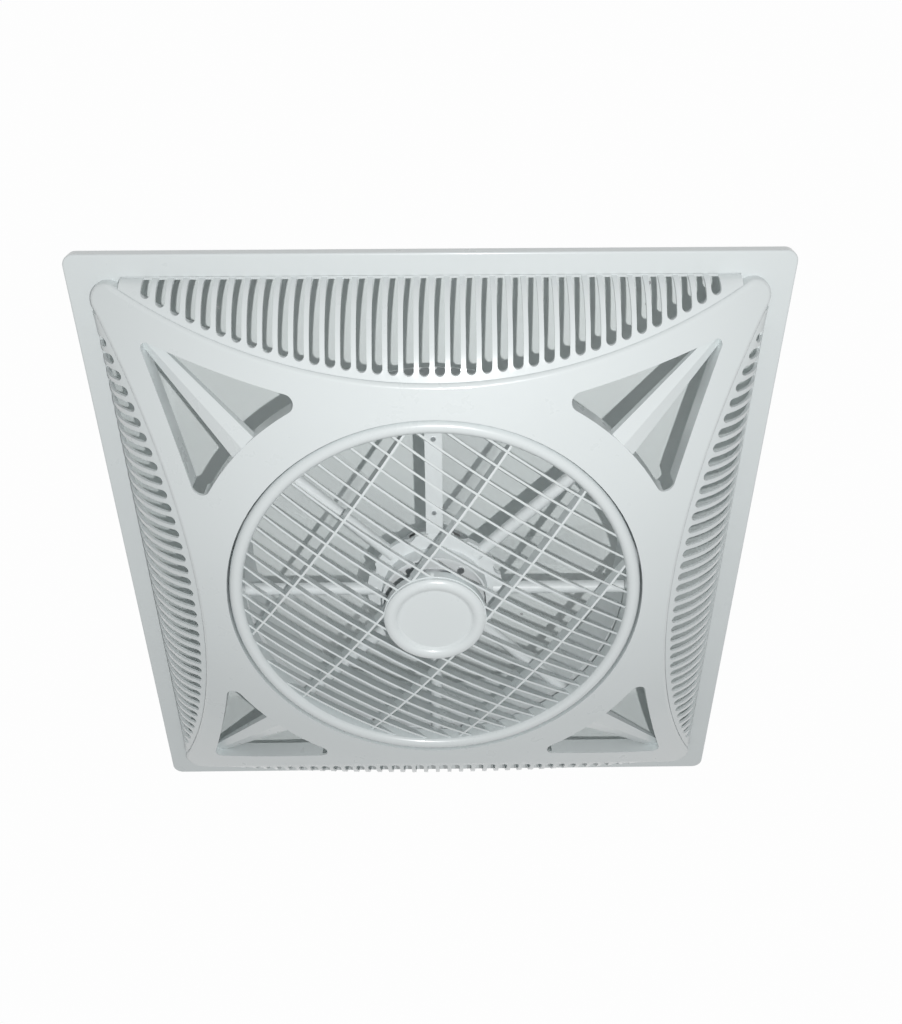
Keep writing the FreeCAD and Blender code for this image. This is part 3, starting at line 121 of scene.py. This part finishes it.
class Paint:
    """The node tree of a material or a world, being built."""

    def __init__(self, owner):
        owner.use_nodes = True
        self.owner = owner
        self.tree = owner.node_tree
        self.tree.nodes.clear()

    def node(self, kind, settings=None, inputs=None):
        """Adds a node of this type: its settings first, then its sockets' values or wires."""
        made = self.tree.nodes.new(kind)
        for name, value in (settings or {}).items():
            setattr(made, name, value)
        for name, value in (inputs or {}).items():
            if isinstance(value, Wire):
                self.tree.links.new(value.socket, made.inputs[name])
            else:
                made.inputs[name].default_value = value
        return made

    def wire(self, made, output):
        return Wire(self, made.outputs[output])

    def math(self, operation, first, second=0.0):
        made = self.node("ShaderNodeMath", {"operation": operation}, {0: first, 1: second})
        return self.wire(made, "Value")

    def place(self):
        """Object coordinates, in metres."""
        return self.wire(self.node("ShaderNodeTexCoord"), "Object")

    def axes(self):
        parts = self.node("ShaderNodeSeparateXYZ", None, {"Vector": self.place()})
        return [self.wire(parts, axis) for axis in ("X", "Y", "Z")]

    def stretched(self, scale):
        made = self.node("ShaderNodeMapping", None, {"Vector": self.place(), "Scale": scale})
        return self.wire(made, "Vector")

    def noise(self, scale, detail, place=None, roughness=0.55):
        made = self.node("ShaderNodeTexNoise", None, {
            "Vector": place or self.place(), "Scale": scale, "Detail": detail,
            "Roughness": roughness})
        return self.wire(made, "Fac")

    def blend(self, amount, first, second):
        """Colour between first and second."""
        made = self.node("ShaderNodeMix", {"data_type": "RGBA"}, {
            MIX_AMOUNT: amount, MIX_FIRST: first, MIX_SECOND: second})
        return self.wire(made, MIX_RESULT)

    def bump(self, height, strength, distance):
        made = self.node("ShaderNodeBump", None, {
            "Height": height, "Strength": strength, "Distance": distance})
        return self.wire(made, "Normal")

    def finish(self, inputs):
        """Closes the material with one Principled surface."""
        surface = self.node("ShaderNodeBsdfPrincipled", None, inputs)
        self.node("ShaderNodeOutputMaterial", None, {"Surface": self.wire(surface, "BSDF")})
        return self.owner


def dress(names, material):
    """Gives these CAD nodes one material."""
    for name in names:
        mesh_slots = NODES[name].material_slots
        if not mesh_slots:
            NODES[name].data.materials.append(material)
        for mesh_slot in mesh_slots:
            mesh_slot.material = material


def shade(colour, amount):
    """A darker or lighter opaque copy of a colour."""
    return tuple(min(1.0, part * amount) for part in colour[:3]) + (1.0,)


def moulded_plastic(name, colour, roughness, clouding, coat=0.0):
    """Moulded plastic: faint clouding from the melt, orange-peel skin and uneven polish."""
    paint = Paint(bpy.data.materials.new(name))
    cloud = paint.noise(scale=9.0, detail=4.0)
    flow = paint.noise(scale=3.0, detail=2.0, place=paint.stretched(MELT_FLOW))
    tone = (cloud * 0.6 + flow * 0.4).clamped()
    polish = paint.noise(scale=60.0, detail=3.0)
    peel = paint.noise(scale=900.0, detail=2.0)
    dark, light = shade(colour, 1.0 - clouding), shade(colour, 1.0 + clouding)
    return paint.finish({
        "Base Color": paint.blend(tone, dark, light),
        "Roughness": roughness + (polish - 0.5) * 0.12 + (cloud - 0.5) * 0.1,
        "Normal": paint.bump(peel * 0.5 + polish * 0.5, strength=0.12, distance=0.0004),
        "Coat Weight": coat,
        "Coat Roughness": 0.12,
    })


def coated_sheet(name, colour, flange_level, shade_height=0.02):
    """Powder-coated sheet: fine pebble skin, slow waves from the press, painted shade by the
    flange.
    """
    paint = Paint(bpy.data.materials.new(name))
    pebble = paint.noise(scale=700.0, detail=2.0)
    wave = paint.noise(scale=5.0, detail=2.0)
    cloud = paint.noise(scale=6.0, detail=4.0)
    height = paint.axes()[2]
    # Painted shade: the colour darkens over a short rise towards the flange, in the joint where
    # the casing sits on the panel; the same mask also makes the coat rougher there.
    flange_shade = ((1.0 - (height - flange_level) / shade_height).clamped() * cloud).clamped()
    tone = (cloud * 0.7 + (1.0 - flange_shade) * 0.3).clamped()
    return paint.finish({
        "Base Color": paint.blend(tone, shade(colour, 0.9), shade(colour, 1.05)),
        "Roughness": 0.46 + (pebble - 0.5) * 0.2 + flange_shade * 0.2,
        "Normal": paint.bump(pebble * 0.3 + wave * 0.7, strength=0.25, distance=0.001),
    })


def worked_metal(name, colour, roughness, stretch, streak=0.1):
    """Metal with fine tool marks drawn out along one direction and a little tarnish."""
    paint = Paint(bpy.data.materials.new(name))
    marks = paint.noise(scale=500.0, detail=3.0, place=paint.stretched(stretch))
    tarnish = paint.noise(scale=40.0, detail=4.0)
    return paint.finish({
        "Base Color": paint.blend(tarnish, shade(colour, 0.8), shade(colour, 1.1)),
        "Metallic": 1.0,
        "Roughness": roughness + (marks - 0.5) * streak + (tarnish - 0.5) * 0.12,
        "Normal": paint.bump(marks, strength=0.15, distance=0.0003),
    })


def stacked_sheets(name, colour, pitch, seam_share=0.25):
    """Motor laminations: thin dark lines between sheets stacked along Z."""
    paint = Paint(bpy.data.materials.new(name))
    height = paint.axes()[2]
    saw = paint.math("FRACT", height / pitch)
    seam = paint.math("LESS_THAN", saw, seam_share)
    stain = paint.noise(scale=60.0, detail=4.0)
    tone = (seam * 0.6 + stain * 0.4).clamped()
    return paint.finish({
        "Base Color": paint.blend(tone, shade(colour, 1.15), shade(colour, 0.55)),
        "Metallic": 1.0,
        "Roughness": 0.42 + stain * 0.2,
        "Normal": paint.bump(saw, strength=0.4, distance=0.0004),
    })


def wound_copper(name, colour, strands, slant=1500.0):
    """Varnished end turns: strands wound round the ring, read from the angle about the axis."""
    paint = Paint(bpy.data.materials.new(name))
    x, y, z = paint.axes()
    turn = paint.math("ARCTAN2", y, x)
    lay = paint.math("SINE", turn * strands + z * slant)
    varnish = paint.noise(scale=150.0, detail=3.0)
    tone = (lay * 0.25 + varnish * 0.75).clamped()
    return paint.finish({
        "Base Color": paint.blend(tone, shade(colour, 0.7), shade(colour, 1.3)),
        "Metallic": 0.7,
        "Roughness": 0.32 + varnish * 0.2,
        "Normal": paint.bump(lay, strength=0.6, distance=0.0006),
        "Coat Weight": 0.6,
    })


def clear_plastic(name, colour, alpha):
    """Clear impeller plastic: almost no body, with faint flow lines."""
    paint = Paint(bpy.data.materials.new(name))
    flow = paint.noise(scale=25.0, detail=3.0)
    return paint.finish({
        "Base Color": paint.blend(flow, shade(colour, 0.97), shade(colour, 1.0)),
        "Roughness": 0.12 + flow * 0.1,
        "Alpha": alpha,
        "Normal": paint.bump(flow, strength=0.08, distance=0.0005),
    })


def grid_faces(rows, columns):
    """Quads of a rows by columns grid whose columns close on themselves."""
    first = np.arange(rows - 1)[:, None] * columns
    here = np.arange(columns)[None, :]
    following = (here + 1) % columns
    corners = [first + here, first + following,
               first + columns + following, first + columns + here]
    return np.stack(corners, axis=-1).reshape(-1, 4)


def screw_tops(name, reach):
    """Top middle of each screw in a group: points within reach in plan belong to one screw."""
    mesh = NODES[name].data
    points = np.empty(3 * len(mesh.vertices))
    mesh.vertices.foreach_get("co", points)
    points = points.reshape(-1, 3)
    tops = []
    while len(points):
        near = np.hypot(points[:, 0] - points[0, 0], points[:, 1] - points[0, 1]) < reach
        low, high = points[near].min(axis=0), points[near].max(axis=0)
        tops.append(((low[0] + high[0]) / 2, (low[1] + high[1]) / 2, high[2]))
        points = points[~near]
    return np.array(tops)


def driver_sockets(places, radius, rise):
    """Four-lobed driver sockets on screw heads, in one piece.

    Round each head's middle, at angle a and share s of the way out, the outline is
    r(a, s) = s * radius * (core + lobe * cos(lobes * a)). The socket's skin stands
    rise * (1 - s * s) above the head. It is no recess: its near-black material is painted
    shade, so it reads as a dark cross pressed into the steel.
    """
    angles = np.linspace(0.0, 2.0 * math.pi, SOCKET_ANGLES, endpoint=False)
    shares = np.array(SOCKET_RINGS)[:, None]
    outline = radius * (SOCKET_CORE + SOCKET_LOBE * np.cos(SOCKET_LOBES * angles))
    reach = outline * shares
    lift = np.broadcast_to(rise * (1.0 - shares ** 2), reach.shape)
    one = np.stack([reach * np.cos(angles), reach * np.sin(angles), lift], axis=-1)
    one = one.reshape(-1, 3)
    points = (places[:, None, :] + one[None, :, :]).reshape(-1, 3)
    steps = np.arange(len(places)) * len(one)
    quads = grid_faces(len(shares), len(angles))[None, :, :] + steps[:, None, None]
    top = np.arange(len(one) - len(angles), len(one))
    base = np.arange(len(angles))[::-1]
    ends = np.concatenate([top + steps[:, None], base + steps[:, None]])
    return points, quads.reshape(-1, 4).tolist() + ends.tolist()


def piece(name, points, faces, material):
    """A mesh piece at the origin that rides on the fan's frame."""
    mesh = bpy.data.meshes.new(name)
    mesh.from_pydata(points.tolist(), [], faces)
    mesh.materials.append(material)
    mesh.validate()
    made = bpy.data.objects.new(name, mesh)
    bpy.context.scene.collection.objects.link(made)
    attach(made, "frame")
    return made


class FanFinishes(bpy.types.PropertyGroup):
    """Colours of the fan's materials."""

    panel: bpy.props.FloatVectorProperty(
        name="Panel", description="Glossy white of the mouldings that face the room",
        subtype="COLOR", size=3, default=(0.715, 0.76, 0.765))
    inner: bpy.props.FloatVectorProperty(
        name="Inner mouldings", description="White of the spider and shroud",
        subtype="COLOR", size=3, default=(0.81, 0.845, 0.85))
    blade: bpy.props.FloatVectorProperty(
        name="Blades", description="Tint of the clear impeller",
        subtype="COLOR", size=3, default=(0.92, 0.95, 0.96))
    blade_alpha: bpy.props.FloatProperty(
        name="Blade body", description="How much of the clear impeller shows",
        subtype="FACTOR", min=0.0, max=1.0, default=0.06)
    casing: bpy.props.FloatVectorProperty(
        name="Casing", description="Powder coat of the rear casing",
        subtype="COLOR", size=3, default=(0.86, 0.905, 0.9))
    steel: bpy.props.FloatVectorProperty(
        name="Steel", description="Screws and shafts",
        subtype="COLOR", size=3, default=(0.74, 0.75, 0.76))
    zinc: bpy.props.FloatVectorProperty(
        name="Zinc", description="Plated brackets and strap",
        subtype="COLOR", size=3, default=(0.62, 0.63, 0.64))
    aluminium: bpy.props.FloatVectorProperty(
        name="Aluminium", description="Cast bells of the main motor",
        subtype="COLOR", size=3, default=(0.68, 0.69, 0.7))
    laminations: bpy.props.FloatVectorProperty(
        name="Laminations", description="Sheet steel of the stator and rotor",
        subtype="COLOR", size=3, default=(0.35, 0.36, 0.38))
    copper: bpy.props.FloatVectorProperty(
        name="Copper", description="Varnished windings",
        subtype="COLOR", size=3, default=(0.62, 0.3, 0.16))
    bronze: bpy.props.FloatVectorProperty(
        name="Bronze", description="Sintered motor bearings",
        subtype="COLOR", size=3, default=(0.6, 0.46, 0.24))
    motor_can: bpy.props.FloatVectorProperty(
        name="Swing motor", description="Can of the swing motor",
        subtype="COLOR", size=3, default=(0.62, 0.63, 0.64))
    box: bpy.props.FloatVectorProperty(
        name="Terminal box", description="Grey plastic of the box and lid",
        subtype="COLOR", size=3, default=(0.5, 0.51, 0.52))
    block: bpy.props.FloatVectorProperty(
        name="Terminal block", description="Ivory plastic of the block",
        subtype="COLOR", size=3, default=(0.8, 0.79, 0.74))
    gland: bpy.props.FloatVectorProperty(
        name="Gland", description="Black plastic of the gland and its nut",
        subtype="COLOR", size=3, default=(0.03, 0.03, 0.032))
    capacitor: bpy.props.FloatVectorProperty(
        name="Capacitor", description="Black case of the capacitor",
        subtype="COLOR", size=3, default=(0.05, 0.05, 0.055))
    # Painted shade: this near-black colour stands for the shade inside the screws' recesses.
    socket: bpy.props.FloatVectorProperty(
        name="Socket", description="Dark inside of the driver sockets",
        subtype="COLOR", size=3, default=(0.05, 0.05, 0.055))


class FanSockets(bpy.types.PropertyGroup):
    """Sizes of the screws' driver sockets."""

    screw_reach: bpy.props.FloatProperty(
        name="Screw reach", description="Points of a screw lie closer together than this in plan",
        unit="LENGTH", default=0.008)
    radius: bpy.props.FloatProperty(
        name="Radius", description="Reach of a socket's lobes", unit="LENGTH", default=0.0021)
    rise: bpy.props.FloatProperty(
        name="Rise", description="Height of a socket's skin over the head", unit="LENGTH",
        default=0.00012)


class FanStudio(bpy.types.PropertyGroup):
    """Where the fan is seen from and how it is lit."""

    eye: bpy.props.FloatVectorProperty(
        name="Eye", description="Camera's place below the panel", subtype="XYZ", unit="LENGTH",
        size=3, default=(0.0068, -0.5521, -0.7759))
    aim: bpy.props.FloatVectorProperty(
        name="Aim", description="Direction the camera looks in", subtype="DIRECTION",
        size=3, default=(0.00917, 0.54374, 0.8392))
    right: bpy.props.FloatVectorProperty(
        name="Right", description="Direction of the picture's right side", subtype="DIRECTION",
        size=3, default=(0.99992, 0.00225, -0.01237))
    lens: bpy.props.FloatProperty(
        name="Lens", description="Focal length for a 36 mm long side",
        subtype="DISTANCE_CAMERA", default=34.6)
    flash: bpy.props.FloatProperty(
        name="Flash", description="Power of the lamp beside the lens", subtype="POWER",
        default=18.4)
    flash_offset: bpy.props.FloatVectorProperty(
        name="Flash offset", description="Right and down from the lens", unit="LENGTH",
        size=2, default=(0.061, 0.0435))
    flash_radius: bpy.props.FloatProperty(
        name="Flash radius", description="Softness of the lamp beside the lens", unit="LENGTH",
        default=0.004)
    room_light: bpy.props.FloatProperty(
        name="Room light", description="Strength of the even light from all round", default=0.38)
    far_light: bpy.props.FloatProperty(
        name="Far softbox", description="Power of the soft lamp beyond the panel",
        subtype="POWER", default=0.5)
    top_light: bpy.props.FloatProperty(
        name="Top softbox", description="Power of the soft lamp over the back",
        subtype="POWER", default=15.0)
    floor_light: bpy.props.FloatProperty(
        name="Floor softbox", description="Power of the soft lamp that only the floor gets",
        subtype="POWER", default=150.0)
    floor_level: bpy.props.FloatProperty(
        name="Floor", description="Height of the floor, below the panel", unit="LENGTH",
        default=-1.7)
    floor_reach: bpy.props.FloatProperty(
        name="Floor reach", description="Half the floor's width", unit="LENGTH", default=6.0)
    floor_colour: bpy.props.FloatVectorProperty(
        name="Floor colour", description="Pale grey of the floor", subtype="COLOR", size=3,
        default=(0.82, 0.82, 0.82))


class FAN_OT_white_mouldings(bpy.types.Operator):
    """Finishes the panel, intake grilles, louvre and cap in glossy white"""

    bl_idname = "fan.white_mouldings"
    bl_label = "White mouldings"

    def execute(self, context):
        finishes = context.scene.fan_finishes
        dress(WHITE_MOULDINGS, moulded_plastic(
            "Glossy white moulding", finishes.panel, roughness=0.3, clouding=0.03, coat=0.35))
        return {"FINISHED"}


class FAN_OT_inner_mouldings(bpy.types.Operator):
    """Finishes the spider, its cable cover and the air shroud in satin white"""

    bl_idname = "fan.inner_mouldings"
    bl_label = "Inner mouldings"

    def execute(self, context):
        finishes = context.scene.fan_finishes
        dress(INNER_MOULDINGS, moulded_plastic(
            "Satin white moulding", finishes.inner, roughness=0.4, clouding=0.03))
        return {"FINISHED"}


class FAN_OT_impeller(bpy.types.Operator):
    """Finishes the impeller in clear plastic"""

    bl_idname = "fan.impeller"
    bl_label = "Clear impeller"

    def execute(self, context):
        finishes = context.scene.fan_finishes
        dress(("impeller",), clear_plastic(
            "Clear blade plastic", finishes.blade, finishes.blade_alpha))
        return {"FINISHED"}


class FAN_OT_casing(bpy.types.Operator):
    """Finishes the rear casing in white powder coat"""

    bl_idname = "fan.casing"
    bl_label = "Rear casing"

    def execute(self, context):
        finishes = context.scene.fan_finishes
        lowest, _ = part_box("rear_casing")
        dress(("rear_casing",), coated_sheet(
            "White powder coat", finishes.casing, flange_level=lowest[2]))
        return {"FINISHED"}


class FAN_OT_metals(bpy.types.Operator):
    """Finishes screws, shafts, brackets and strap in steel and zinc"""

    bl_idname = "fan.metals"
    bl_label = "Steel and zinc"

    def execute(self, context):
        finishes = context.scene.fan_finishes
        dress(BRIGHT_STEEL, worked_metal(
            "Bright screw steel", finishes.steel, roughness=0.42, stretch=TURNED))
        dress(ZINC_STEEL, worked_metal(
            "Zinc plate", finishes.zinc, roughness=0.42, stretch=ROLLED, streak=0.16))
        return {"FINISHED"}


class FAN_OT_motors(bpy.types.Operator):
    """Finishes both motors: bells, laminations, copper, bearings and the swing motor's can"""

    bl_idname = "fan.motors"
    bl_label = "Motors"

    def execute(self, context):
        finishes = context.scene.fan_finishes
        dress(("motor_rear_bell", "motor_front_bell"), worked_metal(
            "Cast aluminium", finishes.aluminium, roughness=0.5, stretch=EVEN, streak=0.2))
        dress(("stator_core", "rotor_core"), stacked_sheets(
            "Motor laminations", finishes.laminations, pitch=0.001))
        dress(("stator_windings",), wound_copper(
            "Varnished copper", finishes.copper, strands=90.0))
        dress(("rear_bearing", "front_bearing"), worked_metal(
            "Sintered bronze", finishes.bronze, roughness=0.45, stretch=EVEN))
        dress(("swing_motor",), worked_metal(
            "Swing motor can", finishes.motor_can, roughness=0.35, stretch=DRAWN))
        return {"FINISHED"}


class FAN_OT_terminals(bpy.types.Operator):
    """Finishes the terminal box, its block and gland, and the capacitor"""

    bl_idname = "fan.terminals"
    bl_label = "Terminal box and capacitor"

    def execute(self, context):
        finishes = context.scene.fan_finishes
        dress(("terminal_box", "terminal_box_lid"), moulded_plastic(
            "Grey box plastic", finishes.box, roughness=0.5, clouding=0.05))
        dress(("terminal_block",), moulded_plastic(
            "Ivory block plastic", finishes.block, roughness=0.45, clouding=0.05))
        dress(("cable_gland", "gland_nut"), moulded_plastic(
            "Black gland plastic", finishes.gland, roughness=0.5, clouding=0.2))
        dress(("capacitor",), moulded_plastic(
            "Capacitor case", finishes.capacitor, roughness=0.4, clouding=0.2))
        return {"FINISHED"}


class FAN_OT_driver_sockets(bpy.types.Operator):
    """Adds the cross-shaped driver sockets on the screws that show behind the panel, dark with
    painted shade
    """

    bl_idname = "fan.driver_sockets"
    bl_label = "Driver sockets"

    def execute(self, context):
        sockets = context.scene.fan_sockets
        # Painted shade: the dark socket material stands for the shade inside the recesses.
        dark = worked_metal(
            "Driver socket shade", context.scene.fan_finishes.socket, roughness=0.55, stretch=EVEN)
        for name in SOCKET_GROUPS:
            places = screw_tops(name, sockets.screw_reach)
            points, faces = driver_sockets(places, sockets.radius, sockets.rise)
            piece(f"{name}_sockets", points, faces, dark)
        return {"FINISHED"}


class FAN_OT_studio(bpy.types.Operator):
    """Builds the floor, the lamps, the white surround and the camera"""

    bl_idname = "fan.studio"
    bl_label = "Studio"

    def execute(self, context):
        scene = context.scene
        studio = scene.fan_studio
        aim = Vector(studio.aim).normalized()
        right = (Vector(studio.right) - aim * Vector(studio.right).dot(aim)).normalized()
        up = right.cross(aim)

        camera = bpy.data.objects.new("Camera", bpy.data.cameras.new("Camera"))
        camera.data.sensor_width = SENSOR_WIDTH
        camera.data.lens = studio.lens
        camera.data.clip_start = NEAR_CLIP
        turn = Matrix((right, up, -aim)).transposed().to_4x4()
        camera.matrix_world = Matrix.Translation(studio.eye) @ turn
        scene.collection.objects.link(camera)
        scene.camera = camera

        flash = bpy.data.objects.new("Flash", bpy.data.lights.new("Flash", "POINT"))
        flash.data.energy = studio.flash
        flash.data.shadow_soft_size = studio.flash_radius
        across, down = studio.flash_offset
        flash.location = Vector(studio.eye) + right * across - up * down
        scene.collection.objects.link(flash)

        middle = Vector()
        below = Vector((0.0, 0.0, studio.floor_level))
        self.add_softbox(scene, "Far softbox", studio.far_light,
                         place=(0.0, 0.9, -0.8), target=middle, size=0.9)
        self.add_softbox(scene, "Top softbox", studio.top_light,
                         place=(0.3, 0.8, 1.6), target=middle, size=1.6)
        self.add_softbox(scene, "Floor softbox", studio.floor_light,
                         place=(0.0, 0.0, -1.0), target=below, size=14.0)
        self.add_floor(scene, studio)
        self.add_surround(scene, studio)
        scene.view_settings.view_transform = "Standard"
        return {"FINISHED"}

    def add_softbox(self, scene, name, power, place, target, size):
        """Square soft lamp that faces its target and leaves no reflection of itself."""
        lamp = bpy.data.objects.new(name, bpy.data.lights.new(name, "AREA"))
        lamp.data.energy = power
        lamp.data.size = size
        lamp.location = place
        lamp.visible_glossy = False
        lamp.rotation_euler = (target - Vector(place)).to_track_quat("-Z", "Y").to_euler()
        scene.collection.objects.link(lamp)

    def add_floor(self, scene, studio):
        """Flat pale floor with a faint grain, which throws no light back at the fan."""
        reach, level = studio.floor_reach, studio.floor_level
        corners = ((-reach, -reach), (reach, -reach), (reach, reach), (-reach, reach))
        mesh = bpy.data.meshes.new("Floor")
        mesh.from_pydata([(x, y, level) for x, y in corners], [], [(0, 1, 2, 3)])
        mesh.materials.append(moulded_plastic(
            "Pale floor", studio.floor_colour, roughness=0.8, clouding=0.02))
        floor = bpy.data.objects.new("Floor", mesh)
        floor.visible_diffuse = False
        scene.collection.objects.link(floor)

    def add_surround(self, scene, studio):
        """White to the camera, to gloss and through clear pieces; even light to all else."""
        paint = Paint(bpy.data.worlds.new("Surround"))
        rays = paint.node("ShaderNodeLightPath")
        camera, gloss, clear = (
            paint.wire(rays, f"Is {kind} Ray") for kind in ("Camera", "Glossy", "Transmission"))
        seen = paint.math("MAXIMUM", paint.math("MAXIMUM", camera, gloss), clear)
        back = paint.node("ShaderNodeBackground", None, {
            "Color": SURROUND_WHITE,
            "Strength": studio.room_light + seen * (1.0 - studio.room_light)})
        paint.node("ShaderNodeOutputWorld", None, {"Surface": paint.wire(back, "Background")})
        scene.world = paint.owner


class FAN_PT_panel(bpy.types.Panel):
    """Lists the fan's finishes and builders"""

    bl_idname = "FAN_PT_panel"
    bl_label = "Ceiling fan"
    bl_space_type = "VIEW_3D"
    bl_region_type = "UI"
    bl_category = "Ceiling fan"

    def draw(self, context):
        layout = self.layout
        scene = context.scene
        for group in (scene.fan_finishes, scene.fan_sockets, scene.fan_studio):
            for name in group.__annotations__:
                layout.prop(group, name)
        for operator in OPERATORS:
            layout.operator(operator.bl_idname)


GROUPS = {"fan_finishes": FanFinishes, "fan_sockets": FanSockets, "fan_studio": FanStudio}
OPERATORS = (
    FAN_OT_white_mouldings, FAN_OT_inner_mouldings, FAN_OT_impeller, FAN_OT_casing,
    FAN_OT_metals, FAN_OT_motors, FAN_OT_terminals, FAN_OT_driver_sockets, FAN_OT_studio,
)
CLASSES = tuple(GROUPS.values()) + OPERATORS + (FAN_PT_panel,)


def register():
    for cls in CLASSES:
        bpy.utils.register_class(cls)
    for name, group in GROUPS.items():
        setattr(bpy.types.Scene, name, bpy.props.PointerProperty(type=group))


def unregister():
    for name in GROUPS:
        delattr(bpy.types.Scene, name)
    for cls in reversed(CLASSES):
        bpy.utils.unregister_class(cls)


def main():
    register()
    bpy.ops.fan.white_mouldings()
    bpy.ops.fan.inner_mouldings()
    bpy.ops.fan.impeller()
    bpy.ops.fan.casing()
    bpy.ops.fan.metals()
    bpy.ops.fan.motors()
    bpy.ops.fan.terminals()
    bpy.ops.fan.driver_sockets()
    bpy.ops.fan.studio()


if __name__ == "__main__":
    main()
